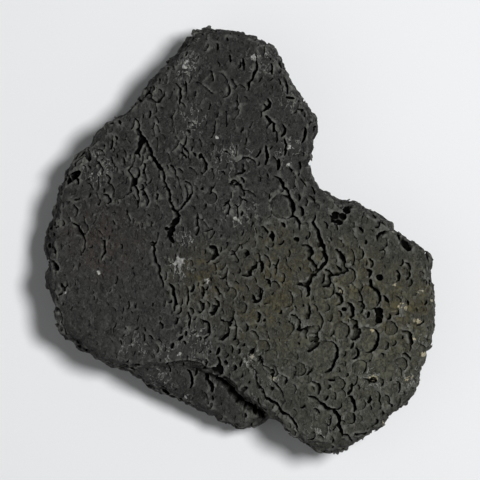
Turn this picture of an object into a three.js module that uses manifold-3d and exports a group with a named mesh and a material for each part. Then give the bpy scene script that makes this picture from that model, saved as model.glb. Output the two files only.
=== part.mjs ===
// A hand-sized slab of vesicular lava, broken from a flow: one piece of dark basalt with three blunt
// lobes, and under its -Y edge a lower tongue of the same rock that sticks out past an overhang.
// Millimetres, +Z up. It lies on its flattened underside, with its origin under the middle, its length
// along Y and its widest lobe towards +X.
import * as THREE from "three";
import { ImprovedNoise } from "three/addons/math/ImprovedNoise.js";
import { mergeVertices } from "three/addons/utils/BufferGeometryUtils.js";
import Module from "manifold-3d";

const wasm = await Module();
wasm.setup();

// ---- Driving dimensions ----
const CROWN_HEIGHT = 31; // the upper face above the ground, before its rises and hollows
const CROWN_TILT = 0.05; // the upper face climbs towards +X
const TONGUE_MIDDLE = { x: -9, y: -44 };
const TONGUE_HEIGHT = 22.5; // the tongue's upper face at its middle
// How steeply that face falls towards +X and towards its free edge.
const TONGUE_FALL = { along: 0.11, across: 0.14 };
const BURIED = 2.6; // how far the underside's middle sinks below the ground before the foot is cut flat
// Away from its middle the underside curls up off the ground.
const SOLE_CURL = { from: 14, to: 62, lift: 7.5 };
const SOLE_MIDDLE = { x: 4, y: -12 };
const TONGUE_RAISED = 1; // the tongue's underside above the slab's
const FACETS = { slab: 19, tongue: 7 }; // how often each edge of the starting icosahedron is divided

// The slab's girth seen from above, anticlockwise from the +X tip.
const SLAB_GIRTH = [
  [54.5, -21], [53.5, -14], [52.2, -9], [53, -5.5], [51, -3], [47, 0], [43, 4], [41, 6.3], [37, 7],
  [34, 9.5], [31, 11.3], [27.5, 11.3], [25, 13], [22.5, 13.2], [20.5, 15.5], [18.3, 20], [18.8, 24],
  [20.3, 29], [21.6, 32.5], [20, 35.5], [18.5, 38], [16.5, 40], [15, 43], [12.8, 46.5], [11.3, 51],
  [10.3, 54.8], [7.5, 56.8], [4, 58.3], [-1, 58.8], [-6, 59.8], [-9, 59.3], [-12.5, 59.3], [-15, 57],
  [-16, 54.5], [-19, 52], [-22, 46.5], [-24, 46], [-27, 43], [-29, 39.5], [-30, 36], [-32, 34.5],
  [-35, 34], [-38, 32.5], [-42, 28.2], [-45.5, 23.7], [-50.6, 16.8], [-52.3, 10], [-53.3, 5], [-55.2, 0],
  [-55, -4], [-54, -12], [-53.3, -18], [-51.6, -24.3], [-48, -28.2], [-43, -31.5], [-38.5, -34.7],
  [-34, -35.8], [-29, -37], [-24, -36], [-18, -35], [-12, -35.5], [-6, -38.5], [0, -43], [6, -48],
  [11, -51], [15, -54], [19, -56.8], [24, -58.7], [29.5, -59.6], [32, -57.8], [35.5, -54.3],
  [39.5, -51.5], [40.2, -49.3], [43, -47.8], [46.5, -44.5], [50, -40.3], [50.8, -37], [50, -34],
  [50.5, -31.5], [53.5, -30], [54.5, -26],
];

// The tongue's girth. Its far half is buried in the slab.
const TONGUE_GIRTH = [
  [-43, -27], [-37, -33.5], [-30, -37.8], [-25.5, -40.7], [-21.5, -43.3], [-17, -45.8], [-12.5, -48],
  [-6.5, -50.6], [-3.5, -52.8], [0, -53.9], [3.2, -53.2], [7.2, -50.3], [9.3, -46], [6, -34],
  [-12, -22], [-32, -18],
];

// Rises and hollows of the upper face: place, reach and height.
const RELIEF = [
  { x: 0, y: 34, reach: 20, height: 3 },
  { x: 4, y: 4, reach: 20, height: 3 },
  { x: 26, y: -22, reach: 22, height: 3 },
  { x: -38, y: -4, reach: 18, height: 1.5 },
  { x: -50, y: 0, reach: 14, height: -2.5 },
  { x: -25, y: 27, reach: 5, height: -2 },
  { x: -20, y: 14, reach: 5, height: -1.2 },
  { x: -18, y: 4, reach: 5, height: -1.2 },
  { x: 18, y: 18, reach: 9, height: -5 },
  { x: 0, y: -37, reach: 8, height: -2.5 },
  { x: 12, y: -47, reach: 7, height: -2.5 },
  { x: 48, y: -42, reach: 10, height: -2.5 },
  { x: -2, y: 58, reach: 8, height: -2.5 },
];

// The slab's flank by compass direction: the height of its girth, how far the rounded shoulder above it
// steps in and how far the undercut below it does.
const SLAB_FLANK = [
  { at: 0, girth: 20, shoulder: 2.4, undercut: 9 },
  { at: 22, girth: 17, shoulder: 2.6, undercut: 6 },
  { at: 45, girth: 14, shoulder: 4, undercut: 4 },
  { at: 68, girth: 18, shoulder: 3, undercut: 6 },
  { at: 90, girth: 22, shoulder: 2.4, undercut: 11 },
  { at: 115, girth: 17, shoulder: 2.6, undercut: 6 },
  { at: 140, girth: 20, shoulder: 2.4, undercut: 10 },
  { at: 165, girth: 15, shoulder: 3, undercut: 5 },
  { at: 190, girth: 19, shoulder: 2.8, undercut: 10 },
  { at: 212, girth: 16, shoulder: 3.2, undercut: 5 },
  { at: 236, girth: 18, shoulder: 2.8, undercut: 4 },
  { at: 252, girth: 23, shoulder: 2.4, undercut: 11 },
  { at: 276, girth: 23, shoulder: 2.6, undercut: 12 },
  { at: 298, girth: 19, shoulder: 3.2, undercut: 8 },
  { at: 318, girth: 16, shoulder: 2.8, undercut: 5 },
  { at: 340, girth: 21, shoulder: 2.6, undercut: 10 },
];
const TONGUE_FLANK = [
  { at: 0, girth: 12, shoulder: 3, undercut: 4 },
  { at: 180, girth: 15, shoulder: 5, undercut: 4 },
  { at: 270, girth: 12, shoulder: 3.2, undercut: 4 },
];

// The broken surface: lumps by size, how far they stand out, and how much flatter than wide they are.
const LUMPS = [
  { size: 27, height: 3.4, flatness: 1 },
  { size: 11, height: 1.7, flatness: 2.2 },
  { size: 5.5, height: 0.8, flatness: 1 },
];
const LUMPS_FROM = { x: 31, y: 17, z: 5 }; // where in the noise the rock's lumps are read
const LUMPS_SHARE = { upper: 0.5, girth: 0.25, sole: 1 }; // how much of them each part of the rock has

// Shares of a unit sphere's area, from its top, that become the upper face and the flank; the rest is
// underside.
const UPPER_SHARE = 0.36;
const FLANK_SHARE = 0.46;
const SHOULDER_SHARE = 0.45; // of the flank, above the girth
const SOFTENING = 0.011; // of the way round, over which the girth's small bays fade out above and below it

const SAME_PLACE = 1e-4; // corners closer than this are one
const GIRTH_STEPS = 1200; // for measuring along the girth
const CUTTER_SIZE = 200;

const noise = new ImprovedNoise();

function crown(x, y) {
  const level = CROWN_HEIGHT + CROWN_TILT * x;
  return RELIEF.reduce((z, r) => {
    const d = Math.hypot(x - r.x, y - r.y) / r.reach;
    return z + r.height * Math.exp(-d * d);
  }, level);
}

// The tongue's upper face falls away towards +X and towards its free edge.
function tongueTop(x, y) {
  const along = TONGUE_FALL.along * (x - TONGUE_MIDDLE.x);
  return TONGUE_HEIGHT - along + TONGUE_FALL.across * (y - TONGUE_MIDDLE.y);
}

function sole(x, y) {
  const out = Math.hypot(x - SOLE_MIDDLE.x, y - SOLE_MIDDLE.y);
  return SOLE_CURL.lift * THREE.MathUtils.smoothstep(out, SOLE_CURL.from, SOLE_CURL.to) - BURIED;
}

// A flank's stations blended round the compass, with the last one meeting the first.
function flankAt(stations, angle) {
  const turn = THREE.MathUtils.euclideanModulo(THREE.MathUtils.radToDeg(angle), 360);
  const after = stations.findIndex((s) => s.at > turn);
  const next = stations[after === -1 ? 0 : after];
  const last = stations[(after === -1 ? stations.length : after) - 1];
  const span = THREE.MathUtils.euclideanModulo(next.at - last.at, 360) || 360;
  const t = THREE.MathUtils.smoothstep(turn - last.at, 0, span);
  const blend = (key) => THREE.MathUtils.lerp(last[key], next[key], t);
  return { girth: blend("girth"), shoulder: blend("shoulder"), undercut: blend("undercut") };
}

// Where one point of a unit sphere goes: how far in from the girth, how far out from the middle, and how
// far up to the upper face (1) or down to the sole (-1).
function profile(share, flank) {
  if (share < UPPER_SHARE) {
    return { inset: flank.shoulder, reach: Math.sqrt(share / UPPER_SHARE), climb: 1 };
  }
  const down = (share - UPPER_SHARE) / FLANK_SHARE;
  if (down < SHOULDER_SHARE) {
    const a = (down / SHOULDER_SHARE) * (Math.PI / 2);
    return { inset: flank.shoulder * (1 - Math.sin(a)), reach: 1, climb: Math.cos(a) };
  }
  if (down < 1) {
    const a = ((down - SHOULDER_SHARE) / (1 - SHOULDER_SHARE)) * (Math.PI / 2);
    return { inset: flank.undercut * (1 - Math.cos(a)), reach: 1, climb: -Math.sin(a) };
  }
  const reach = Math.sqrt((1 - share) / (1 - UPPER_SHARE - FLANK_SHARE));
  return { inset: flank.undercut, reach, climb: -1 };
}

// The same shape with its corners shared between its triangles, so that it is one closed surface.
function joinedUp(geometry) {
  const bare = geometry.clone();
  bare.deleteAttribute("normal");
  bare.deleteAttribute("uv");
  return mergeVertices(bare, SAME_PLACE);
}

// The girth's curve at a share of the way round, with its small bays and points smoothed away.
function softened(curve, turn) {
  const steps = [-2, -1, 0, 1, 2];
  return steps
    .reduce((sum, s) => sum.add(pointAt(curve, turn + s * SOFTENING)), new THREE.Vector3())
    .divideScalar(steps.length);
}

function pointAt(curve, turn) {
  return curve.getPointAt(THREE.MathUtils.euclideanModulo(turn, 1));
}

// A closed lump of rock: a sphere pulled out to a girth, levelled to an upper face and a sole, and
// roughened.
function lump({ girthPoints, centre, facets, topOf, soleOf, stations }) {
  const shape = joinedUp(new THREE.IcosahedronGeometry(1, facets));
  const corners = girthPoints.map(([x, y]) => new THREE.Vector3(x, y, 0));
  const girth = new THREE.CatmullRomCurve3(corners, true, "centripetal");
  girth.arcLengthDivisions = GIRTH_STEPS;
  const places = shape.attributes.position;
  const climbs = [];
  for (let i = 0; i < places.count; i++) {
    const turn = Math.atan2(places.getY(i), places.getX(i)) / (2 * Math.PI);
    const edge = pointAt(girth, turn);
    const flank = flankAt(stations, Math.atan2(edge.y - centre.y, edge.x - centre.x));
    const { inset, reach, climb } = profile((1 - places.getZ(i)) / 2, flank);
    edge.lerp(softened(girth, turn), Math.abs(climb)).sub(centre);
    const { x, y } = edge.multiplyScalar(reach * (1 - inset / edge.length())).add(centre);
    const end = climb > 0 ? topOf(x, y) : soleOf(x, y);
    places.setXYZ(i, x, y, THREE.MathUtils.lerp(flank.girth, end, Math.abs(climb)));
    climbs.push(climb);
  }
  roughen(shape, climbs);
  return shape;
}

// Moves each point along its normal by the lumps' noise, least at the girth.
function roughen(shape, climbs) {
  shape.computeVertexNormals();
  const places = shape.attributes.position;
  const normals = shape.attributes.normal;
  const from = LUMPS_FROM;
  for (let i = 0; i < places.count; i++) {
    const p = new THREE.Vector3().fromBufferAttribute(places, i);
    const n = new THREE.Vector3().fromBufferAttribute(normals, i);
    const out = LUMPS.reduce((sum, { size, height, flatness }) => {
      const [u, v, w] = [p.x / size + from.x, p.y / size + from.y, (p.z * flatness) / size + from.z];
      return sum + height * noise.noise(u, v, w);
    }, 0);
    const end = climbs[i] > 0 ? LUMPS_SHARE.upper : LUMPS_SHARE.sole;
    p.addScaledVector(n, out * THREE.MathUtils.lerp(LUMPS_SHARE.girth, end, Math.abs(climbs[i])));
    places.setXYZ(i, p.x, p.y, p.z);
  }
}

function solidOf(geometry) {
  const { index, attributes } = joinedUp(geometry);
  const vertProperties = attributes.position.array;
  const triVerts = new Uint32Array(index.array);
  return new wasm.Manifold(new wasm.Mesh({ numProp: 3, vertProperties, triVerts }));
}

function geometryOf(solid) {
  const { vertProperties, triVerts } = solid.getMesh();
  const geometry = new THREE.BufferGeometry();
  geometry.setAttribute("position", new THREE.BufferAttribute(vertProperties, 3));
  geometry.setIndex(new THREE.BufferAttribute(triVerts, 1));
  return geometry;
}

// Everything below the ground, taken off to leave the flat places that the rock rests on.
function belowGround() {
  return new THREE.BoxGeometry(CUTTER_SIZE, CUTTER_SIZE, CUTTER_SIZE).translate(0, 0, -CUTTER_SIZE / 2);
}

// Slides the shape so that the middle of its foot is the origin.
function centred(geometry) {
  geometry.computeBoundingBox();
  const { min, max } = geometry.boundingBox;
  return geometry.translate(-(min.x + max.x) / 2, -(min.y + max.y) / 2, -min.z);
}

function lavaRock() {
  const slab = lump({
    girthPoints: SLAB_GIRTH,
    centre: new THREE.Vector3(2, -8, 0),
    facets: FACETS.slab,
    topOf: crown,
    soleOf: sole,
    stations: SLAB_FLANK,
  });
  const tongue = lump({
    girthPoints: TONGUE_GIRTH,
    centre: new THREE.Vector3(-12, -36, 0),
    facets: FACETS.tongue,
    topOf: tongueTop,
    soleOf: (x, y) => sole(x, y) + TONGUE_RAISED,
    stations: TONGUE_FLANK,
  });
  const solid = solidOf(slab).add(solidOf(tongue)).subtract(solidOf(belowGround()));
  const stone = new THREE.MeshStandardMaterial({ color: 0x3a3a38, roughness: 0.95, metalness: 0 });
  const mesh = new THREE.Mesh(centred(geometryOf(solid)), stone);
  mesh.name = "lava_rock";
  return mesh;
}

const rock = new THREE.Group();
rock.add(lavaRock());

export default rock;
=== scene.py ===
# %% [markdown]
# # A slab of vesicular lava
# Lava rock is basalt that froze while gas was still bubbling out of it. This piece is a hand-sized slab with three
# blunt lobes. Its upper face was dragged along while it set, so its bubbles are tilted, and where they broke open
# each one left a thin dark slot under a lip. Everything that makes the rock look like lava is a hollow, so this
# lesson starts from the plain outer form, takes the hollows out of it, and only then paints it.
#
# The CAD part is loaded first. It gives the rock's true size and place, which nothing below changes.

# %% Load the CAD part
import math

import bmesh
import bpy
import numpy as np
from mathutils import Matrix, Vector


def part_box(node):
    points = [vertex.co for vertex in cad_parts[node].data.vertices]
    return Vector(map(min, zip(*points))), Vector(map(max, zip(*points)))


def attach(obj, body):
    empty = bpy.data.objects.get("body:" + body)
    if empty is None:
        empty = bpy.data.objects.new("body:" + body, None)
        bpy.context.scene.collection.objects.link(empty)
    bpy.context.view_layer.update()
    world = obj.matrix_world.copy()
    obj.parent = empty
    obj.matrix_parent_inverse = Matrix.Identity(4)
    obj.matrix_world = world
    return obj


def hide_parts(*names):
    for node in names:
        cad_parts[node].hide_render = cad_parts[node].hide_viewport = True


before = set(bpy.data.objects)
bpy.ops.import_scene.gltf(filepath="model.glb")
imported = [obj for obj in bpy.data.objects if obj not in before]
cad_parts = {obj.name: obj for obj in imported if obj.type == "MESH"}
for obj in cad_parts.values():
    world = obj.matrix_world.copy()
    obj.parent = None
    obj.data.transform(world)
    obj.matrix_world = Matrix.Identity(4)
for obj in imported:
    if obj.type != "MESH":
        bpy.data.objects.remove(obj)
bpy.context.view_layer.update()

import openvdb as vdb
from mathutils import Vector
from mathutils.bvhtree import BVHTree

cad_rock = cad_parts["lava_rock"]
low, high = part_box("lava_rock")
print("the rock is", [round((b - a) * 1000, 1) for a, b in zip(low, high)], "mm")

# %% [markdown]
# ## The outer form
# The CAD mesh is made of loose triangles about 3 mm wide. A copy of it is merged into one skin, smoothed by two
# rounds of Subdivision Surface, and then pushed in and out by Displace modifiers, which read procedural cloud
# textures. Displace is chosen over sculpting because it treats every side of the rock alike. The upper face is
# old crust and stays nearly flat, while the sides are broken stone with swells, knobs and crumbs, so two vertex
# groups say which is which.

# %% Merge the form and tell crust from broken stone
MM = 0.001


def copy_merged(source, name):
    mesh = source.data.copy()
    mesh.materials.clear()
    shape = bmesh.new()
    shape.from_mesh(mesh)
    bmesh.ops.remove_doubles(shape, verts=shape.verts, dist=0.01 * MM)
    shape.to_mesh(mesh)
    shape.free()
    piece = bpy.data.objects.new(name, mesh)
    bpy.context.scene.collection.objects.link(piece)
    return piece


form = copy_merged(cad_rock, "form")
crust = form.vertex_groups.new(name="crust")
broken = form.vertex_groups.new(name="broken")
for corner in form.data.vertices:
    share = min(max((corner.normal.z - 0.25) / 0.5, 0), 1)
    crust.add([corner.index], share, "REPLACE")
    broken.add([corner.index], 1 - share, "REPLACE")
print("merged to", len(form.data.vertices), "corners")

# %% Swell it
def add_swells(piece, name, group, size, height):
    cloud = bpy.data.textures.new(name, "CLOUDS")
    cloud.noise_scale = size
    swell = piece.modifiers.new(name, "DISPLACE")
    swell.texture = cloud
    swell.texture_coords = "LOCAL"
    swell.vertex_group = group
    swell.strength = height
    swell.mid_level = 0.5


rounding = form.modifiers.new("rounding", "SUBSURF")
rounding.levels = rounding.render_levels = 2
add_swells(form, "crust_swells", "crust", 8 * MM, 1.4 * MM)
add_swells(form, "crust_knobs", "crust", 2.4 * MM, 0.9 * MM)
add_swells(form, "broken_swells", "broken", 10 * MM, 3.4 * MM)
add_swells(form, "broken_knobs", "broken", 4 * MM, 2.2 * MM)
add_swells(form, "broken_crumbs", "broken", 1.9 * MM, 1.8 * MM)


def bake_modifiers(piece):
    """Leaves the piece with the mesh that its modifiers make."""
    bpy.context.view_layer.update()
    shaped = piece.evaluated_get(bpy.context.evaluated_depsgraph_get())
    mesh = bpy.data.meshes.new_from_object(shaped)
    piece.modifiers.clear()
    piece.data = mesh
    return mesh


form_mesh = bake_modifiers(form)
print("the form has", len(form_mesh.polygons), "faces")

# %% [markdown]
# ## A block of stone that can be hollowed out
# Thousands of bubbles that overlap each other would choke a Boolean modifier. A level set copes with any number:
# it is a grid of small cells, and each cell holds how far it lies from the rock's skin, negative inside. Taking a
# bubble out is then one line of arithmetic, and undercut lips come out as easily as plain dents. OpenVDB, the
# library behind Blender's Remesh modifier, turns the form into such a grid. The grid is in millimetres.

# %% Turn the form into a grid of distances
# CELL and DEEPEST, the depth to which distances are kept, are in millimetres. MARGIN is in cells.
CELL = 0.27
DEEPEST = 4.6
MARGIN = 8


def corners_and_faces(mesh):
    corners = np.empty(len(mesh.vertices) * 3, np.float32)
    mesh.vertices.foreach_get("co", corners)
    faces = np.empty(len(mesh.loops), np.int32)
    mesh.loops.foreach_get("vertex_index", faces)
    return corners.reshape(-1, 3) / MM, faces.reshape(-1, 4).astype(np.uint32)


corners, faces = corners_and_faces(form_mesh)
grid_lines = vdb.createLinearTransform(voxelSize=CELL)
grid = vdb.FloatGrid.createLevelSetFromPolygons(
    corners, quads=faces, transform=grid_lines, halfWidth=DEEPEST / CELL
)
first_cell = np.floor(corners.min(0) / CELL).astype(int) - MARGIN
last_cell = np.ceil(corners.max(0) / CELL).astype(int) + MARGIN
stone = np.empty(last_cell - first_cell, np.float32)
grid.copyToArray(stone, ijk=tuple(int(i) for i in first_cell))
print("the grid has", stone.shape, "cells of", CELL, "mm")

# %% [markdown]
# ## The bubble tool
# One tool makes every hollow. It is a flattened egg with three half-sizes: how far it dives under the skin, how
# wide it is across, and how thick. Sunk into the skin at a slant it leaves a gentle ramp on one side and an
# undercut lip on the other. The usual distance formula for an egg is only near enough, and that is all it needs.

# %% Cut one bubble
def take_out(centre, dive, across, sizes):
    upright = np.cross(dive, across)
    ways = np.stack([dive, across, upright])
    sizes = np.asarray(sizes)
    reach = np.sqrt(((ways * sizes[:, None]) ** 2).sum(0)) + CELL
    start = np.maximum(np.floor((centre - reach) / CELL).astype(int) - first_cell, 0)
    stop = np.minimum(np.ceil((centre + reach) / CELL).astype(int) - first_cell + 1, stone.shape)
    if (stop <= start).any():
        return
    x, y, z = np.ogrid[start[0]:stop[0], start[1]:stop[1], start[2]:stop[2]]
    x = (x + first_cell[0]) * CELL - centre[0]
    y = (y + first_cell[1]) * CELL - centre[1]
    z = (z + first_cell[2]) * CELL - centre[2]
    near = steep = 0
    for way, size in zip(ways, sizes):
        along = way[0] * x + way[1] * y + way[2] * z
        near = near + (along / size) ** 2
        steep = steep + (along / size**2) ** 2
    near = np.sqrt(near)
    hollow = near * (1 - near) / np.sqrt(np.maximum(steep, 1e-9))
    part = stone[start[0]:stop[0], start[1]:stop[1], start[2]:stop[2]]
    np.maximum(part, hollow, out=part)


skin_tree = BVHTree.FromPolygons([Vector(c) for c in corners], [tuple(f) for f in faces.tolist()])


def skin_under(x, y):
    """The point of the upper face at this place, and which way the skin faces there."""
    place, facing, _, _ = skin_tree.ray_cast(Vector((x, y, 80)), Vector((0, 0, -1)))
    return (np.array(place), np.array(facing)) if place else (None, None)


def slant(facing, heading, angle):
    """The dive direction: along the skin towards heading, then down into it by angle degrees."""
    level = heading - facing * facing.dot(heading)
    level /= np.linalg.norm(level)
    tip = math.radians(angle)
    dive = level * math.cos(tip) - facing * math.sin(tip)
    return dive, np.cross(facing, level)


# %% [markdown]
# ## Cracks and lips
# The biggest slots are the rock's own portrait, so these are listed one by one, each as a line of a few points in
# millimetres. A line is walked in steps of under half a millimetre with a bubble cut at each, which gives it the
# ragged edge of torn crust. The undercut is always on the left of the walker. Widths fade towards both ends.
# Every cut leaves its place in a list, so that the scattered bubbles further down keep clear of it.
#
# Each row of the two tables gives a width in millimetres and the line's points. The last line is the crevice
# where the slab overhangs the tongue, and beside it a few places are named that stay whole.

# %% Walk a line of bubbles
STEP = 0.4
chance = np.random.default_rng(7)
spoken_for = []


def scalloped(line, bow):
    """The line with each of its stretches bowed out to the left by a share of the stretch's length."""
    line = np.array(line, float)
    points = [line[0]]
    for (x0, y0), (x1, y1) in zip(line[:-1], line[1:]):
        out = bow * chance.uniform(0.5, 1.5) * np.array([y0 - y1, x1 - x0])
        for t in (0.25, 0.5, 0.75, 1):
            points.append(np.array([x0 + (x1 - x0) * t, y0 + (y1 - y0) * t]) + 4 * t * (1 - t) * out)
    return np.array(points)


def tear(line, bow, width, ramp, angle, depth):
    """Cuts a slot along the line that dives to the left at an angle, ramp millimetres long."""
    line = scalloped(line, bow)
    spans = np.linalg.norm(np.diff(line, axis=0), axis=1)
    reached = np.concatenate([[0], np.cumsum(spans)])
    steps = max(2, int(reached[-1] / STEP))
    wander = np.cumsum(chance.normal(0, 0.09, steps + 1))
    wander -= np.linspace(wander[0], wander[-1], steps + 1)
    for step, s in enumerate(np.linspace(0, reached[-1], steps + 1)):
        x, y = (np.interp(s, reached, line[:, i]) for i in (0, 1))
        i = min(np.searchsorted(reached, s, side="right"), len(spans)) - 1
        going = (line[i + 1] - line[i]) / spans[i]
        left = np.array([-going[1], going[0], 0])
        place, facing = skin_under(x + left[0] * wander[step], y + left[1] * wander[step])
        if place is None or facing[2] < 0.15:
            continue
        fade = 0.35 + 0.65 * math.sin(math.pi * (0.06 + 0.88 * s / reached[-1])) ** 0.7
        thick = 0.05 + 0.55 * width * fade * math.sin(math.radians(angle)) * chance.uniform(0.7, 1.3)
        dive, across = slant(facing, left, angle)
        long = ramp * (0.6 + 0.4 * fade) * chance.uniform(0.85, 1.15)
        take_out(place - facing * depth * fade + dive * long * 0.15, dive, across, (long, 0.66, thick))
        spoken_for.append((x, y, place[2], 0.9))


# %% The long cracks
LONG_CRACKS = [
    (0.9, [(-29, 34), (-28, 31), (-27, 29.5), (-25, 27.5), (-23.5, 24), (-22, 21.5), (-20.8, 16.5), (-19.5, 14),
           (-19.3, 11), (-18.5, 9), (-17.5, 7)]),
    (1.7, [(-17.2, 7.4), (-18, 5), (-19.4, 1.5), (-18.6, 0)]),
    (1.6, [(-27.2, 29), (-27.6, 27), (-28.6, 24.6)]),
    (0.7, [(-30.5, 19), (-29.5, 17), (-30.3, 14.5)]),
    (0.8, [(-28, 20), (-28.5, 17), (-29, 15.5), (-28.2, 13), (-28, 11)]),
    (0.6, [(-26.5, 27.3), (-25, 24.5), (-24.2, 22.5)]),
    (0.7, [(-19, 21), (-17.5, 18.5), (-17, 15)]),
    (0.6, [(-15, 16.5), (-13.3, 15), (-14, 12), (-15.5, 10)]),
    (0.7, [(-15, 15), (-14.7, 12.5), (-16, 10), (-17.5, 8)]),
    (0.6, [(-14.8, 29), (-15, 26), (-14.3, 23.5)]),
    (0.9, [(7.3, 26), (7.2, 21.5)]),
    (0.7, [(12.5, 28), (12.6, 24)]),
    (0.8, [(4.5, 50), (4, 46.5), (2.5, 43.5), (2.5, 42)]),
    (0.6, [(1, 50.5), (1.3, 47.5)]),
    (0.6, [(8.8, 49), (9, 46.5)]),
    (0.7, [(12.5, 45), (13.2, 41)]),
    (0.6, [(-17.5, 43.5), (-16.5, 41), (-16.7, 38)]),
    (0.6, [(-15, 44), (-15, 40)]),
    (1.1, [(20.3, 5), (22, 1), (23.3, -3), (24, -6), (22, -8)]),
    (0.8, [(14.8, 7), (16.5, 3.5)]),
    (0.8, [(-24, -0.5), (-23.5, -3), (-23, -6), (-22.5, -9), (-21.3, -12.5)]),
    (1.0, [(-19.3, -12), (-18.5, -14), (-18.2, -19)]),
    (0.7, [(-14.7, -13), (-14.5, -17.5)]),
    (0.7, [(-14.3, -20), (-14, -24)]),
    (1.0, [(19.5, -43), (22, -44.5), (24, -46), (27, -48), (27.5, -51), (28.5, -53), (31, -55.5)]),
    (1.0, [(31, -40), (30.5, -42.5), (32, -45), (31.8, -47)]),
    (0.6, [(-37.5, 0), (-38.5, -5)]),
    (0.6, [(-46.3, 5), (-45, 3), (-43.5, 1), (-43, -1), (-43.5, -3)]),
    (0.7, [(-50.5, -19), (-49.5, -23), (-48.5, -26)]),
    (0.8, [(3, -35), (5.2, -39), (7.5, -43), (11.5, -47.5), (16, -52.5)]),
    (0.7, [(6.5, -34.5), (9, -38.5), (12, -43)]),
    (0.7, [(-14.5, -36), (-13, -38.5), (-13.6, -41)]),
]
for width, line in LONG_CRACKS:
    tear(line, 0.1, width, ramp=2.0, angle=72, depth=1.0)
print(len(LONG_CRACKS), "long cracks")

# %% The lips of broken bubbles
LIPS = [
    (1.0, [(17.5, -1), (19.8, -2.5), (19.3, -4.5)]),
    (1.3, [(19, -5), (21, -7.5), (20, -9.5), (16, -12)]),
    (1.1, [(26.8, -2.5), (28.5, -7), (25.5, -9.5)]),
    (1.0, [(24, -8), (25, -10), (23.3, -12)]),
    (0.8, [(36, -5), (36.5, -7)]),
    (1.0, [(35.5, -8), (36, -9.5)]),
    (1.0, [(43.6, -8.3), (44, -9.8), (43.5, -11)]),
    (0.9, [(46, -6), (46.8, -8.3), (46.3, -10.5)]),
    (1.0, [(27.5, -13), (28.3, -15), (27, -17.5)]),
    (1.1, [(30, -17), (31.3, -19), (30.7, -21)]),
    (1.4, [(31, -22), (32.2, -24), (31, -27)]),
    (1.2, [(19, -24.5), (21.5, -27), (20.5, -29), (19, -30.5)]),
    (1.0, [(14.5, -20.5), (16, -24.5), (18.3, -26.5)]),
    (0.9, [(19, -17.5), (18.3, -20.5)]),
    (1.4, [(-8, -1.5), (-6.5, -2.8), (-7.5, -5)]),
    (1.0, [(5.5, -13), (5.8, -15), (4, -17)]),
    (0.9, [(5, -32), (6.2, -34.5)]),
    (0.9, [(3.5, -25), (5, -27)]),
    (1.0, [(12, -37.5), (12.6, -39.5)]),
    (0.9, [(15, -40), (15.2, -42)]),
    (1.0, [(20.5, -39), (21.7, -42)]),
    (1.1, [(45.5, -25), (47.6, -26.8), (47, -29)]),
    (0.9, [(-37, 18.5), (-36.4, 16.5)]),
    (0.9, [(-37.5, 13), (-36, 12), (-36.4, 10.5)]),
    (1.4, [(4.5, -6), (3.5, -8), (1, -9.5)]),
    (0.9, [(7, -4), (8.3, -7)]),
    (1.0, [(18.3, -12), (18.8, -15)]),
    (1.3, [(-10.3, -13), (-10.6, -15.5)]),
    (1.4, [(-11, -17), (-10.8, -19.5)]),
    (1.3, [(-6.8, -16), (-6.6, -19), (-8, -20)]),
    (0.9, [(-9.7, -22), (-8.7, -24.5), (-9.5, -27)]),
    (0.8, [(-4.8, -22), (-4.5, -27.5)]),
    (0.9, [(-10, 23), (-9.8, 19)]),
    (0.9, [(11, 22.5), (10.8, 20)]),
    (1.1, [(-2.2, 16.6), (-0.4, 16), (0.3, 14.8)]),
    (0.9, [(0, 21), (-0.8, 18.5)]),
    (0.7, [(10, 18), (12, 15), (14, 12.5)]),
    (0.9, [(8, 39), (6.8, 36)]),
    (1.0, [(7.5, 34.5), (7.7, 31.5)]),
    (0.8, [(12, 32), (11.8, 29)]),
    (0.8, [(-3, 43), (-4.3, 39.8)]),
    (0.8, [(-0.8, 39), (-1, 36.5)]),
    (0.8, [(-46, 10), (-45.5, 7)]),
    (0.9, [(-49.5, -12), (-50, -15)]),
    (1.0, [(38, 0.5), (40, 2.5)]),
    (1.2, [(-10, -36.5), (-9, -39), (-7.5, -42)]),
]
for width, line in LIPS:
    tear(line, 0.26, width, ramp=2.0, angle=62, depth=0.9)
print(len(LIPS), "lips")

# %% The crevice between slab and tongue
CREVICE = [(-6.2, -37.6), (-2.2, -41.4), (1.6, -44.9), (7.2, -49.6)]
tear(CREVICE, 0.04, 2.7, ramp=3.4, angle=52, depth=1.3)
WHOLE = [(-17, -32.5, 3.5), (-13, -34.5, 2.5), (-53.5, -10, 3.5)]
for x, y, reach in WHOLE:
    spoken_for.append((x, y, skin_under(x, y)[0][2], reach))
print("the crevice is cut and", len(WHOLE), "places stay whole")

# %% [markdown]
# ## Broken bubbles
# Nearly every mark on the upper face is the same thing at a different size: a bubble just under the crust, tilted
# by the flow, whose thin roof has gone. What is left is a shallow round floor that slopes down to the right, and a
# black crescent where it runs on under the crust. The floor is one wide flat egg. The crescent is a row of small
# slanting ones set side by side along the rim, thick in the middle of the row and thin at its ends.

# %% One broken bubble
FLOOR_TILT = 9
RIM_STEP = 0.42
THINNEST = 0.08
LONGEST = 3.8
OUTWARD, DOWNWARD = 0.4, 0.917


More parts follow.
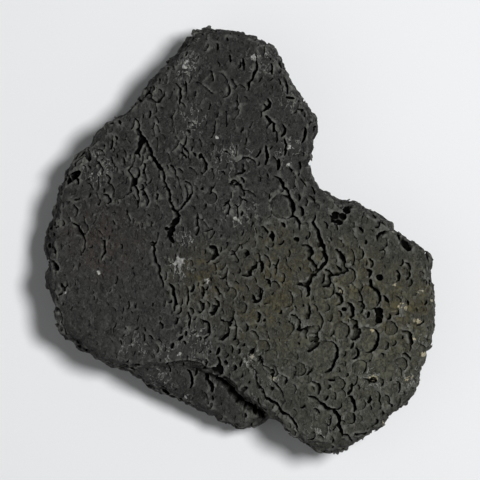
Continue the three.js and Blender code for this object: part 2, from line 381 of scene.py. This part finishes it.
def break_open(place, facing, radius, stretch, turn, lip, sink, span):
    """A round floor, and a crescent that reaches span radians to each side of the turn it faces."""
    heading = np.array([math.cos(turn), math.sin(turn), 0])
    dive, side = slant(facing, heading, FLOOR_TILT)
    take_out(place - facing * sink * 0.25, dive, side, (radius, radius * stretch, sink))
    level = np.cross(side, facing)
    swing = chance.uniform(0, 6.28, 2)
    steps = max(3, math.ceil(2 * span * radius * max(1, stretch) / RIM_STEP))
    for angle in np.linspace(-span, span, steps + 1):
        rim = radius * (0.9 + 0.09 * math.sin(2 * angle + swing[0]) + 0.07 * math.sin(3 * angle + swing[1]))
        outward = level * math.cos(angle) + side * math.sin(angle)
        at_rim = place + level * math.cos(angle) * rim + side * math.sin(angle) * rim * stretch
        above = skin_under(at_rim[0], at_rim[1])[0]
        if above is not None and abs(above[2] - at_rim[2]) < 2:
            at_rim = np.array(above)
        thick = 0.03 + lip * math.cos(1.4 * angle / span) * chance.uniform(0.8, 1.2)
        if thick < THINNEST:
            continue
        dive = outward * OUTWARD - facing * DOWNWARD
        long = min(0.7 + 4.2 * thick, LONGEST)
        middle = at_rim - facing * (0.35 * sink + 0.35 * long)
        take_out(middle, dive, np.cross(facing, outward), (long, 0.5, thick))


def hole(x, y, radius, deep=2.5):
    """A bubble that was cut open from above, with no lip."""
    place, facing = skin_under(x, y)
    dive, across = slant(facing, np.array([0.3, 1, 0]), 80)
    take_out(place - facing * deep * 0.5, dive, across, (deep, radius * 1.2, radius))
    spoken_for.append((x, y, place[2], radius + 0.8))


# %% The big ones, listed one by one
# A dish is given by x, y, radius, the slot's half thickness and the turn of its slot in degrees.
DISHES = [
    (11.8, 9.5, 3.7, 0.8, 5), (22.8, -32, 4.9, 0.85, 0), (35.6, -15.5, 3.6, 0.6, 10), (34.8, -27.3, 4.0, 0.7, -5),
    (20, -22.5, 3.4, 0.18, -20), (25.6, -31.6, 1.7, 0.24, 0), (-2.5, -22.5, 1.5, 0.18, 20),
    (-1.3, -28, 1.2, 0.18, 0), (30.5, -49, 1.7, 0.3, -15), (37.5, -43, 1.6, 0.18, 10), (1.5, 20.5, 3.2, 0.1, 60),
    (-8, 12, 1.8, 0.12, 0),
    (42.5, -17, 2.2, 0.16, 20), (28, -24.5, 2.5, 0.18, 0), (12.5, -16, 2.6, 0.17, -10), (-44, 3.5, 2.0, 0.06, 0),
    (23.8, -13.5, 2.6, 0.2, 0), (29.5, -9.5, 2.6, 0.19, 10), (13, -24, 2.2, 0.18, 5), (6.5, -29, 1.9, 0.2, 0),
    (16.5, -35.5, 2.0, 0.18, -10), (9, -36, 1.8, 0.22, -5), (27, -39.5, 2.2, 0.16, 5), (44.5, -34, 2.0, 0.14, 0),
    (33, -35, 2.2, 0.18, 10), (41.5, -24, 2.1, 0.19, 10), (-2.5, -14.5, 1.8, 0.14, 20),
    (0.5, -18.5, 1.7, 0.16, 0),
]
DISH_SPAN = 1.4
AROUND = ((0, 0), (1, 0), (0.5, 0.9), (-0.5, 0.9), (-1, 0), (-0.5, -0.9), (0.5, -0.9))
for x, y, radius, lip, turn in DISHES:
    around = [skin_under(x + dx * radius * 0.8, y + dy * radius * 0.8)[0] for dx, dy in AROUND]
    place = np.array([x, y, np.mean([point[2] for point in around if point is not None])])
    facing = skin_under(x, y)[1] * 0.3 + np.array([0, 0, 0.7])
    facing /= np.linalg.norm(facing)
    break_open(place, facing, radius, 1.0, math.radians(turn), lip, 0.2 * radius + 0.45, DISH_SPAN)
    spoken_for.append((x, y, place[2], radius * 1.12))
HOLES = [
    (38.6, -9.8, 1.0), (28.8, -18.6, 0.7), (37, -38.3, 1.0), (38.4, -19.2, 1.1), (38.6, -20.6, 1.1),
    (38.5, -21.8, 0.9), (-6, -36.6, 1.3), (-4.6, -38, 1.2), (26.6, 7.4, 1.1), (26.5, 6, 1.0), (29.6, 8.6, 1.0),
    (28.3, 6.8, 1.1), (27.6, 5.6, 1.0), (15.6, 0.6, 0.8), (-20.3, 3.6, 0.6),
]
for x, y, radius in HOLES:
    hole(x, y, radius)
print(len(DISHES), "dishes and", len(HOLES), "holes")

# %% [markdown]
# ## Scattered bubbles
# The rest only need the right size, slant and crowding. Points are thrown at the form at random, in numbers that
# follow the area of each face, and a point too near an earlier one is dropped, which keeps the even spacing that
# real bubbles have. Each part of the upper face has its own manner: wide round bubbles in the widest lobe, long
# narrow ones in the narrow lobe, and faint ones on the smooth lobe. A bubble blends the manners of the parts
# around it. On the broken sides the bubbles are open and point every way.

# %% The manners of the rock's parts
CRUST_FROM = 0.35
THROWS = 30000
PARTS = [
    dict(x=34, y=-18, reach=20, gap=2.6, radius=1.2, stretch=1.1, lip=0.23, sink=0.2),
    dict(x=14, y=-32, reach=15, gap=2.1, radius=0.85, stretch=1.3, lip=0.23, sink=0.18),
    dict(x=28, y=-47, reach=10, gap=2.1, radius=0.75, stretch=1.5, lip=0.2, sink=0.16),
    dict(x=-8, y=-20, reach=11, gap=1.6, radius=0.55, stretch=2.3, lip=0.22, sink=0.14),
    dict(x=-24, y=31, reach=9, gap=1.5, radius=0.4, stretch=3.0, lip=0.18, sink=0.08),
    dict(x=-38, y=-12, reach=16, gap=1.9, radius=0.4, stretch=2.2, lip=0.085, sink=0.1),
    dict(x=-34, y=18, reach=12, gap=1.45, radius=0.4, stretch=2.8, lip=0.16, sink=0.08),
    dict(x=-2, y=42, reach=16, gap=2.4, radius=0.5, stretch=2.6, lip=0.16, sink=0.1),
    dict(x=-15, y=-43, reach=8, gap=2.6, radius=0.7, stretch=1.5, lip=0.12, sink=0.12),
    dict(x=-8, y=12, reach=12, gap=1.7, radius=0.5, stretch=2.4, lip=0.17, sink=0.16),
    dict(x=10, y=-4, reach=11, gap=1.9, radius=0.75, stretch=1.5, lip=0.21, sink=0.16),
]
WAYS = ("gap", "radius", "stretch", "lip", "sink")
part_table = np.array([[part[way] for way in WAYS] for part in PARTS])
part_places = np.array([[part["x"], part["y"]] for part in PARTS])
part_reaches = np.array([part["reach"] for part in PARTS])


def manner(place):
    """The manners of the parts near this place, blended."""
    far = np.linalg.norm(part_places - place[:2], axis=1) / part_reaches
    weight = np.exp(-far**2) + 1e-9
    return dict(zip(WAYS, weight @ part_table / weight.sum()))


# %% Throw the points
def throw_points(count):
    a, b, c, d = (corners[faces[:, i]] for i in range(4))
    spread = np.cross(c - a, d - b) / 2
    area = np.linalg.norm(spread, axis=1)
    picked = chance.choice(len(faces), count, p=area / area.sum())
    u, v = chance.random((2, count, 1))
    places = (a[picked] * (1 - u) + b[picked] * u) * (1 - v) + (d[picked] * (1 - u) + c[picked] * u) * v
    return places, spread[picked] / area[picked, None]


def neighbourhood(place, reach):
    """The pigeonholes, 3 mm wide, within reach of a place."""
    low, high = ((np.asarray(place) - reach) // 3).astype(int), ((np.asarray(place) + reach) // 3).astype(int)
    return [
        (i, j, k) for i in range(low[0], high[0] + 1) for j in range(low[1], high[1] + 1)
        for k in range(low[2], high[2] + 1)
    ]


def gap_at(place, facing):
    """How far apart bubbles lie: by part on the crust, and wider underneath than on the sides."""
    if facing[2] > CRUST_FROM:
        return manner(place)["gap"]
    return 2.0 if facing[2] > -0.6 else 3.2


def sift(places, facings):
    """Drops each point that lies too near an earlier one or near a listed hollow."""
    taken = {}
    for x, y, z, reach in spoken_for:
        for home in neighbourhood((x, y, z), reach):
            taken.setdefault(home, []).append(((x, y, z), reach))
    kept = []
    for i, place in enumerate(places):
        gap = gap_at(place, facings[i])
        home = tuple((place // 3).astype(int))
        if any(math.dist(place, near) < reach for near, reach in taken.get(home, ())):
            continue
        kept.append(i)
        for home in neighbourhood(place, gap):
            taken.setdefault(home, []).append((place, gap))
    return places[kept], facings[kept]


places, facings = sift(*throw_points(THROWS))
print(len(places), "scattered bubbles")

# %% Cut them
def cut_on_crust(place, facing):
    way = manner(place)
    radius = way["radius"] * math.exp(chance.normal(0, 0.35)) * chance.choice([1, 1.6], p=[0.88, 0.12])
    lip = way["lip"] * math.exp(chance.normal(0, 0.3)) * chance.choice([0.3, 1, 1.7], p=[0.4, 0.32, 0.28])
    stretch = way["stretch"] * chance.uniform(0.8, 1.25)
    turn, span = chance.normal(0, 0.45), chance.uniform(0.75, 1.3)
    break_open(place, facing, radius, stretch, turn, lip, way["sink"] * chance.uniform(0.6, 1.3), span)


def cut_in_side(place, facing):
    wide = 0.95 * math.exp(chance.normal(0, 0.45))
    heading = np.array([chance.normal(), chance.normal(), chance.normal(-0.3, 0.5)])
    sizes = (wide * chance.uniform(0.8, 1.5), wide * chance.uniform(0.8, 1.5), 0.2 + wide * 0.42)
    dive, across = slant(facing, heading, chance.uniform(25, 75))
    take_out(place - facing * sizes[2] * chance.uniform(0.3, 1.1), dive, across, sizes)


for place, facing in zip(places, facings):
    if facing[2] > CRUST_FROM:
        cut_on_crust(place, facing)
    else:
        cut_in_side(place, facing)

# %% [markdown]
# ## Back to a mesh
# The grid becomes a mesh again, far finer than it needs to be. The rock's foot is cut level with the ground first,
# so that it still rests on its flat places. A Decimate modifier then thins the mesh twice: first everywhere but on
# the upper face, which a locked vertex group holds still, and then the whole. Both times it spends its triangles
# on the lips and saves them where the stone is plain. Thinning can push a corner a hair's breadth below the
# ground, so those are lifted back to it.

# %% Skin the stone
ground = (np.arange(stone.shape[2]) + first_cell[2]) * CELL
np.maximum(stone, -ground[None, None, :], out=stone)
carved = vdb.FloatGrid()
carved.background = 3 * CELL
carved.transform = grid_lines
carved.copyFromArray(np.clip(stone, -3 * CELL, 3 * CELL), ijk=tuple(int(i) for i in first_cell))
points, triangles, quads = carved.convertToPolygons(isovalue=0, adaptivity=0)
print("the skin has", len(points), "corners and", len(quads), "faces")

rock_mesh = bpy.data.meshes.new("lava_rock_skin")
rock_mesh.from_pydata((points * MM).tolist(), [], triangles.tolist() + quads.tolist())
rock = bpy.data.objects.new("lava_rock_stone", rock_mesh)
bpy.context.scene.collection.objects.link(rock)

# %% Drop the specks
def largest_body_only(piece):
    """Deletes any chip that the bubbles have cut loose."""
    shape = bmesh.new()
    shape.from_mesh(piece.data)
    bmesh.ops.triangulate(shape, faces=shape.faces)
    shape.verts.ensure_lookup_table()
    seen = np.full(len(shape.verts), -1)
    bodies = 0
    for start in shape.verts:
        if seen[start.index] >= 0:
            continue
        waiting = [start]
        seen[start.index] = bodies
        while waiting:
            for edge in waiting.pop().link_edges:
                for corner in edge.verts:
                    if seen[corner.index] < 0:
                        seen[corner.index] = bodies
                        waiting.append(corner)
        bodies += 1
    largest = np.bincount(seen).argmax()
    loose = [v for v in shape.verts if seen[v.index] != largest]
    bmesh.ops.delete(shape, geom=loose, context="VERTS")
    shape.to_mesh(piece.data)
    shape.free()
    return bodies - 1


print(largest_body_only(rock), "loose chips dropped")

# %% Thin it out
SIDES_FIRST = 72000
MOST_TRIANGLES = 196000


def thin(piece, ratio, group=None):
    thinner = piece.modifiers.new("thin", "DECIMATE")
    thinner.ratio = min(1, ratio)
    if group:
        thinner.vertex_group = group
        thinner.vertex_group_factor = 0
    return bake_modifiers(piece)


def corners_of(mesh):
    at = np.empty(len(mesh.vertices) * 3, np.float32)
    mesh.vertices.foreach_get("co", at)
    return at.reshape(-1, 3)


def facings_of(mesh):
    facing = np.empty(len(mesh.vertices) * 3, np.float32)
    mesh.vertices.foreach_get("normal", facing)
    return facing.reshape(-1, 3)


on_top = (facings_of(rock.data)[:, 2] > 0.15) | (corners_of(rock.data)[:, 2] > 19 * MM)
loose_enough = rock.vertex_groups.new(name="sides")
loose_enough.add(np.flatnonzero(~on_top).tolist(), 1, "REPLACE")
loose_enough.add(np.flatnonzero(on_top).tolist(), 0, "REPLACE")
now = len(rock.data.polygons)
after_sides = 2 * int(on_top.sum()) + SIDES_FIRST
thin(rock, after_sides / now, "sides")
print("sides thinned:", now, "to", len(rock.data.polygons))
rock_mesh = thin(rock, MOST_TRIANGLES / len(rock.data.polygons))
rock.vertex_groups.clear()
for corner in rock_mesh.vertices:
    corner.co.z = max(corner.co.z, 0)
rock_mesh.set_sharp_from_angle(angle=math.radians(58))
print("the rock has", len(rock_mesh.polygons), "triangles")

# %% [markdown]
# ## What the paint needs to know
# Light hardly reaches the slots, so their colour gets painted shade, and creases get some too; the torn edges of
# the lips are painted paler than the rest of the skin, partly as worn stone and partly as painted highlight. Both
# are measured and kept on the mesh as attributes for the material. How open a corner is comes from sending rays
# out of it in a fan and counting those that get away. For the edges, every cell of the grid counts as 1 for air or
# -1 for stone, and the mean over a small box of cells is about nought on level stone, above it on an edge and
# below it in a crease.

# %% Find the edges
BOX = 0.55


def read_grid(values, places):
    """The grid's value at each place, blended from the eight cells around it."""
    at = places / CELL - first_cell
    base = np.clip(np.floor(at).astype(int), 0, np.array(values.shape) - 2)
    part = at - base
    total = 0
    for dx in (0, 1):
        for dy in (0, 1):
            for dz in (0, 1):
                share = np.abs(1 - dx - part[:, 0]) * np.abs(1 - dy - part[:, 1]) * np.abs(1 - dz - part[:, 2])
                total = total + share * values[base[:, 0] + dx, base[:, 1] + dy, base[:, 2] + dz]
    return total


def blurred(values, reach):
    """The mean over a box of cells, one direction after another."""
    for axis in range(3):
        sums = np.cumsum(values, axis=axis, dtype=np.float32)
        values = (np.roll(sums, -reach, axis) - np.roll(sums, reach + 1, axis)) / (2 * reach + 1)
    return values


def keep_on_mesh(mesh, name, values):
    kept = mesh.attributes.new(name, "FLOAT", "POINT")
    kept.data.foreach_set("value", values.astype(np.float32))


at = corners_of(rock_mesh) / MM
air_or_stone = np.clip(stone / CELL, -1, 1)
how_proud = read_grid(blurred(air_or_stone, max(1, round(BOX / CELL))), at)
keep_on_mesh(rock_mesh, "proud", how_proud)
outward = np.array([tuple(skin_tree.find_nearest(Vector(place))[1]) for place in at.tolist()])
upward = outward[:, 2]
keep_on_mesh(rock_mesh, "crust", np.clip((upward - 0.3) / 0.4, 0, 1))
print("proud on the upper face:", np.percentile(how_proud[upward > 0.6], (5, 25, 50, 75, 95)).round(2))

# %% Find how open each corner is
RAYS = 20
SEEN_WITHIN = 4
START_ABOVE = 0.07
GOLDEN_TURN = 2.39996


def fan(count):
    """Directions spread evenly over half a ball about +Z, closest together near the axis."""
    turns = np.arange(count) * GOLDEN_TURN
    out = np.sqrt((np.arange(count) + 0.5) / count) * 0.97
    return np.stack([np.cos(turns) * out, np.sin(turns) * out, np.sqrt(1 - out**2)], 1)


def openness(mesh, starts, axes):
    """The share of a fan of rays about each axis that meets no stone on its way."""
    flat = [tuple(face.vertices) for face in mesh.polygons]
    tree = BVHTree.FromPolygons([Vector(place) for place in at.tolist()], flat)
    sideways = np.cross(axes, np.where(np.abs(axes[:, :1]) < 0.7, [[1.0, 0, 0]], [[0, 1.0, 0]]))
    sideways /= np.linalg.norm(sideways, axis=1, keepdims=True)
    third = np.cross(axes, sideways)
    rays = np.einsum("rk,kvj->vrj", fan(RAYS), np.stack([sideways, third, axes]))
    free = np.zeros(len(starts))
    for i, (start, ways) in enumerate(zip(starts.tolist(), rays.tolist())):
        start = Vector(start)
        free[i] = sum(tree.ray_cast(start, Vector(way), SEEN_WITHIN)[0] is None for way in ways)
    return free / RAYS


is_open = openness(rock_mesh, at + facings_of(rock_mesh) * START_ABOVE, outward)
keep_on_mesh(rock_mesh, "open", is_open)
print("open on the upper face:", np.percentile(is_open[upward > 0.6], (5, 25, 50, 75, 95)).round(2))

# %% Where crystals and pale wrinkles lie
# Each spot is given by x, y and its reach, in millimetres.
CRYSTALS = [
    (-38, -6.3, 0.7), (-39.3, -9, 0.7), (-43, -3, 0.6), (-28, 2, 0.5), (-17, -31, 1.2), (-12, -26, 1.0),
    (-9, -11, 1.2), (-6.3, 29, 0.7), (-4, 17, 0.7), (-1, 6, 0.7), (4, 51, 1.5), (7.5, 51.5, 1.2), (-15, 49, 1.6),
    (-12, 56, 1.0), (14, 26, 1.6), (13.5, 21, 0.9), (-15, 1, 1.3), (-17, -6, 2.2), (9, -38, 1.3),
    (-15, -43.5, 1.0), (-5, -45, 0.7), (28, -28, 0.9), (45, -18, 1.9), (49, -22, 1.6), (50, -14, 1.2),
    (43, -12, 1.0), (28, -14, 1.0), (36.5, -24.5, 0.9), (34, -27, 0.7), (48, -27, 1.0), (37, -37.5, 1.8),
    (47, -38, 1.6), (51, -31, 1.2), (40, -50.5, 1.3), (53.5, -16, 1.2), (42, 2.5, 1.0), (8, -27.5, 0.8),
    (3, -32, 1.2), (-49, -14.5, 0.9),
]
LACY = [
    (-15, 0, 4), (-17, -7, 5), (-12, -27, 6), (-20, -31, 4), (-30, -30, 5), (9, -38, 4), (2, -34, 6), (37, -38, 5),
    (47, -38, 6), (52, -28, 4), (-15, 49, 5), (6, 51, 6), (14, 25, 5), (14, 40, 5), (4, -46, 4), (-2, 22, 7),
    (-40, 20, 6), (22, -52, 5), (-22, -39, 5), (-13, 33, 6), (0, 8, 6),
]


def spots(table):
    """How near each corner is to the nearest of the places, from 0 to 1."""
    nearest = np.zeros(len(at))
    for x, y, reach in table:
        away = np.hypot(at[:, 0] - x, at[:, 1] - y) / reach
        nearest = np.maximum(nearest, np.clip(1 - away**2, 0, 1))
    return nearest * (upward > 0)


keep_on_mesh(rock_mesh, "crystal", spots(CRYSTALS))
keep_on_mesh(rock_mesh, "lacy", spots(LACY))
print(len(CRYSTALS), "crystals and", len(LACY), "lacy patches")

# %% [markdown]
# ## The finish
# Weathered basalt is almost black, dull all over, and grey only because a film of dust lies on it. Its colour is
# built up in layers: the bare stone with its grain, paler on the widest lobe and darker in three broad patches
# elsewhere, then olive dust, one rusty patch, pale wrinkles with painted shadow along one side, torn edges painted
# paler as partly wear and partly painted highlight, painted shade in the bubbles, pores, creases and slots, and
# last a few pale crystals. Each layer is a mask that mixes one more colour in. Bump gives the grain, the wrinkles
# and the smallest bubbles, which are too fine for any mesh.

# %% Paint box
class Paint:
    """A material's nodes, made one at a time."""

    def __init__(self, name):
        self.material = bpy.data.materials.new(name)
        self.material.use_nodes = True
        self.tree = self.material.node_tree
        self.shader = self.tree.nodes["Principled BSDF"]
        self.place = self.tree.nodes.new("ShaderNodeTexCoord").outputs["Object"]

    def node(self, kind, inputs=(), **settings):
        made = self.tree.nodes.new("ShaderNode" + kind)
        for key, value in settings.items():
            setattr(made, key, value)
        for key, value in dict(inputs).items():
            if isinstance(value, bpy.types.NodeSocket):
                self.tree.links.new(value, made.inputs[key])
            else:
                made.inputs[key].default_value = value
        return made

    def attribute(self, name):
        return self.node("Attribute", attribute_name=name).outputs["Fac"]

    def math(self, operation, *values):
        return self.node("Math", dict(enumerate(values)), operation=operation).outputs[0]

    def vector(self, operation, *values, output=0):
        return self.node("VectorMath", dict(enumerate(values)), operation=operation).outputs[output]

    def ramp(self, value, low, high, to_low=0.0, to_high=1.0):
        """The value's way from low to high, eased at both ends, as a number from to_low to to_high."""
        settings = {"Value": value, "From Min": low, "From Max": high, "To Min": to_low, "To Max": to_high}
        return self.node("MapRange", settings, interpolation_type="SMOOTHSTEP").outputs[0]

    def noise(self, size, detail=4, roughness=0.55, place=None):
        """Cloudy noise whose blotches are about size metres across."""
        settings = {"Vector": place or self.place, "Scale": 1 / size, "Detail": detail, "Roughness": roughness}
        return self.node("TexNoise", settings).outputs["Fac"]

    def spot(self, x, y, reach):
        """1 at a place on the plan and 0 beyond reach, all in metres."""
        flat = self.vector("MULTIPLY", self.place, (1, 1, 0))
        away = self.vector("DISTANCE", flat, (x, y, 0), output="Value")
        return self.ramp(away, reach, 0)

    def mix(self, share, under, over):
        """One colour laid over another by a share from 0 to 1."""
        mixed = self.node("Mix", data_type="RGBA", clamp_factor=True)
        for socket, value in ((mixed.inputs[0], share), (mixed.inputs[6], under), (mixed.inputs[7], over)):
            if isinstance(value, bpy.types.NodeSocket):
                self.tree.links.new(value, socket)
            else:
                socket.default_value = value
        return mixed.outputs[2]

    def any_of(self, masks):
        total = masks[0]
        for mask in masks[1:]:
            total = self.math("MAXIMUM", total, mask)
        return total


def grey(level, warmth=0.0):
    """A near-grey colour, as lava's faint green cast makes it, with less blue the warmer it is."""
    return (level, level * 1.01, level * (1 - 2 * warmth), 1)


# %% The fine crescents
basalt = Paint("basalt")
wobble = basalt.node("TexNoise", {"Vector": basalt.place, "Scale": 700.0, "Detail": 2.0}).outputs["Color"]
wobble = basalt.vector("SUBTRACT", wobble, (0.5, 0.5, 0.5))
wobbly = basalt.vector("MULTIPLY_ADD", wobble, (0.0014, 0.0014, 0.0014), basalt.place)
crusty = basalt.attribute("crust")


def crescents(spacing, radius, stretch, offset):
    """Tiny open bubbles: how far each has sunk, deepest on its right, and the shadow under its right-hand rim."""
    flat = basalt.vector("MULTIPLY_ADD", wobbly, (1, 1 / stretch, 0.12), offset)
    cells = basalt.node("TexVoronoi", {"Vector": flat, "Scale": 1 / spacing})
    away = basalt.vector("SUBTRACT", flat, cells.outputs["Position"])
    size = basalt.node("SeparateColor", {"Color": cells.outputs["Color"]}).outputs[0]
    reach = basalt.math("MULTIPLY_ADD", size, radius, radius * 0.5)
    far = basalt.math("DIVIDE", basalt.vector("LENGTH", away, output="Value"), reach)
    to_right = basalt.math("DIVIDE", basalt.node("SeparateXYZ", {"Vector": away}).outputs[0], reach)
    inside = basalt.math("MULTIPLY", basalt.ramp(far, 1.05, 0.95), crusty)
    sunk = basalt.math("MULTIPLY", inside, basalt.ramp(to_right, -1, 0.9))
    under_rim = basalt.math("MULTIPLY", basalt.ramp(far, 0.55, 0.8), basalt.ramp(to_right, 0.15, 0.7))
    return sunk, basalt.math("MULTIPLY", inside, under_rim)


small_sunk, small_shade = crescents(0.0019, 0.0006, 1.3, (0, 0, 0))
tiny_sunk, tiny_shade = crescents(0.0011, 0.00035, 1.5, (0.05, 0.03, 0))
pores = basalt.node("TexVoronoi", {"Vector": wobbly, "Scale": 1 / 0.0012}).outputs["Distance"]
pores = basalt.math("MULTIPLY", basalt.ramp(pores, 0.42, 0.25), basalt.math("SUBTRACT", 1.0, crusty))

# %% Wrinkles
def wrinkles(size, stretch, thin):
    """Fine raised lines that wander and close on themselves, and the shadow along one side of each."""
    long = basalt.vector("MULTIPLY", wobbly, (1, 1 / stretch, 1))
    height = basalt.math("SUBTRACT", basalt.noise(size, 3, 0.6, long), 0.5)
    shadow = basalt.math("MULTIPLY", basalt.ramp(height, 0, thin), basalt.ramp(height, 4 * thin, 2 * thin))
    return basalt.ramp(basalt.math("ABSOLUTE", height), thin, 0), shadow


wide_wrinkles, wide_shadow = wrinkles(0.0026, 1.9, 0.024)
fine_wrinkles, fine_shadow = wrinkles(0.0014, 1.6, 0.028)

# %% The masks
proud = basalt.attribute("proud")
lacy = basalt.attribute("lacy")
patches = basalt.noise(0.03, 3)
mottle = basalt.noise(0.004, 4)
blotch = basalt.noise(0.0014, 4, 0.6)
grain = basalt.noise(0.0005, 4, 0.65)
wide_lobe = basalt.spot(0.034, -0.028, 0.055)
DARKER_PATCHES = [(-0.002, 0.042, 0.036), (-0.034, 0.02, 0.027), (-0.012, -0.045, 0.018)]
DUSTY = [(0.046, -0.019, 0.021), (0.03, -0.012, 0.02), (0.012, -0.01, 0.022), (0.008, -0.02, 0.018),
         (-0.009, -0.011, 0.016)]
darker_patches = basalt.any_of([basalt.spot(x, y, reach) for x, y, reach in DARKER_PATCHES])
dusty = basalt.any_of([basalt.spot(x, y, reach) for x, y, reach in DUSTY])
rusty = basalt.math("MULTIPLY", basalt.spot(-0.038, 0, 0.017), basalt.ramp(mottle, 0.35, 0.6))
crystal = basalt.math("MULTIPLY", basalt.attribute("crystal"), basalt.ramp(blotch, 0.35, 0.65))
crystal = basalt.ramp(crystal, 0.3, 0.42)
# Painted shade: the less open a corner is, the nearer this comes to 1, and there the colour goes near black.
slot = basalt.ramp(basalt.attribute("open"), 0.7, 0.38)
# Painted shade in creases, where the stone around a corner outweighs the air.
hollow = basalt.ramp(proud, -0.05, -0.4)
# Torn edges that stand out: paler partly as worn stone and partly as painted highlight.
edge = basalt.ramp(proud, 0.12, 0.4)
print("masks made")

# %% Colour
colour = basalt.mix(basalt.ramp(grain, 0.38, 0.62), grey(0.018, 0.02), grey(0.034, 0.02))
colour = basalt.mix(basalt.ramp(blotch, 0.42, 0.62, 0, 0.5), colour, grey(0.06, 0.02))
colour = basalt.mix(basalt.ramp(mottle, 0.5, 0.3, 0, 0.35), colour, grey(0.016, 0.02))
colour = basalt.mix(basalt.ramp(patches, 0.35, 0.65, 0, 0.25), colour, grey(0.042, 0.02))
colour = basalt.mix(basalt.math("MULTIPLY", wide_lobe, 0.68), colour, (0.094, 0.095, 0.066, 1))
# Three broad patches are made darker.
colour = basalt.mix(basalt.math("MULTIPLY", darker_patches, 0.42), colour, grey(0.008))
olive = basalt.math("MULTIPLY", dusty, basalt.ramp(mottle, 0.4, 0.62, 0.2, 0.75))
colour = basalt.mix(olive, colour, (0.075, 0.064, 0.028, 1))
colour = basalt.mix(basalt.math("MULTIPLY", rusty, 0.5), colour, (0.05, 0.03, 0.022, 1))
lines = basalt.math("MAXIMUM", wide_wrinkles, fine_wrinkles)
beside = basalt.math("MAXIMUM", wide_shadow, fine_shadow)
# Painted shadow along one side of each wrinkle.
colour = basalt.mix(basalt.math("MULTIPLY", beside, 0.45), colour, grey(0.01))
colour = basalt.mix(basalt.math("MULTIPLY", lines, 0.4), colour, grey(0.15, 0.03))
lace = basalt.math("MULTIPLY", lacy, wide_wrinkles)
colour = basalt.mix(basalt.math("MULTIPLY", lace, 0.85), colour, grey(0.34, 0.03))
# Paler torn edges, partly wear and partly painted highlight.
colour = basalt.mix(basalt.math("MULTIPLY", edge, 0.6), colour, grey(0.16, 0.04))
# Painted shadow under the right-hand rim of each fine crescent, and painted shade in the pores.
shade = basalt.any_of([small_shade, tiny_shade, pores])
colour = basalt.mix(basalt.math("MULTIPLY", shade, 0.8), colour, grey(0.005))
# Painted shade in the creases.
colour = basalt.mix(basalt.math("MULTIPLY", hollow, 0.55), colour, grey(0.006))
# Painted shade in the slots, deepest where a corner is least open.
colour = basalt.mix(basalt.math("MULTIPLY", slot, 0.95), colour, grey(0.002))
pale = basalt.mix(basalt.math("MULTIPLY", wide_lobe, 0.8), grey(0.36, 0.02), (0.4, 0.34, 0.18, 1))
colour = basalt.mix(basalt.math("MULTIPLY", crystal, 0.9), colour, pale)
basalt.tree.links.new(colour, basalt.shader.inputs["Base Color"])

# %% Roughness and bump
# Nothing shines out of a slot, so the gloss fades to nought there.
GLOSS = 0.15
basalt.tree.links.new(basalt.ramp(grain, 0.3, 0.7, 0.7, 0.95), basalt.shader.inputs["Roughness"])
gloss = basalt.math("MULTIPLY_ADD", slot, -GLOSS, GLOSS)
basalt.tree.links.new(gloss, basalt.shader.inputs["Specular IOR Level"])


def bump(height, distance, strength, under=None, sunk=False):
    settings = {"Height": height, "Strength": strength, "Distance": distance}
    if under:
        settings["Normal"] = under
    return basalt.node("Bump", settings, invert=sunk).outputs[0]


surface = bump(blotch, 0.0009, 0.7)
surface = bump(lines, 0.0004, 0.9, surface)
surface = bump(small_sunk, 0.0007, 0.9, surface, sunk=True)
surface = bump(basalt.math("MAXIMUM", tiny_sunk, pores), 0.0005, 0.9, surface, sunk=True)
surface = bump(grain, 0.0003, 0.7, surface)
basalt.tree.links.new(surface, basalt.shader.inputs["Normal"])
rock_mesh.materials.clear()
rock_mesh.materials.append(basalt.material)
print("basalt has", len(basalt.tree.nodes), "nodes")

# %% [markdown]
# ## Camera, floor and light
# The rock is seen from straight above on a plain pale floor. The light is one large soft lamp, high on the right,
# which throws short shadows to the left, and a weak fill from the other side.

# %% Camera, floor and light
DISTANCE_TO_FACE = 0.884
WIDTH_SEEN = 0.1354
scene = bpy.context.scene
scene.view_settings.view_transform = "Standard"
camera = bpy.data.objects.new("camera", bpy.data.cameras.new("camera"))
scene.collection.objects.link(camera)
camera.location = (0, 0.0003, 0.9)
camera.data.sensor_width = 36
camera.data.lens = camera.data.sensor_width * DISTANCE_TO_FACE / WIDTH_SEEN
camera.data.clip_start = 0.01
scene.camera = camera


def plain_material(name, colour, roughness):
    material = bpy.data.materials.new(name)
    material.use_nodes = True
    shader = material.node_tree.nodes["Principled BSDF"]
    shader.inputs["Base Color"].default_value = (*colour, 1)
    shader.inputs["Roughness"].default_value = roughness
    return material


floor_shape = bmesh.new()
bmesh.ops.create_grid(floor_shape, x_segments=1, y_segments=1, size=1.5)
floor_mesh = bpy.data.meshes.new("floor")
floor_shape.to_mesh(floor_mesh)
floor_shape.free()
floor = bpy.data.objects.new("floor", floor_mesh)
scene.collection.objects.link(floor)
floor_mesh.materials.append(plain_material("floor_paint", (0.72, 0.73, 0.74), 0.9))


def softbox(name, place, size, power):
    lamp = bpy.data.lights.new(name, "AREA")
    lamp.shape = "DISK"
    lamp.size = size
    lamp.energy = power
    stand = bpy.data.objects.new(name, lamp)
    stand.location = place
    stand.rotation_euler = (-Vector(place)).to_track_quat("-Z", "Y").to_euler()
    scene.collection.objects.link(stand)


softbox("key", (0.25, 0.085, 0.87), 0.18, 8.4)
softbox("fill", (-0.4, -0.2, 0.9), 0.8, 0.8)
world = bpy.data.worlds.new("studio")
world.use_nodes = True
world.node_tree.nodes["Background"].inputs["Color"].default_value = (1, 1, 1, 1)
world.node_tree.nodes["Background"].inputs["Strength"].default_value = 0.12
scene.world = world

# %% [markdown]
# ## Attach the rock
# The carved rock rides on the CAD part's one body and stands in for its one node. The plain form has done its work
# and goes.

# %% Attach the rock
bpy.data.objects.remove(form)
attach(rock, "root")
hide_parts("lava_rock")
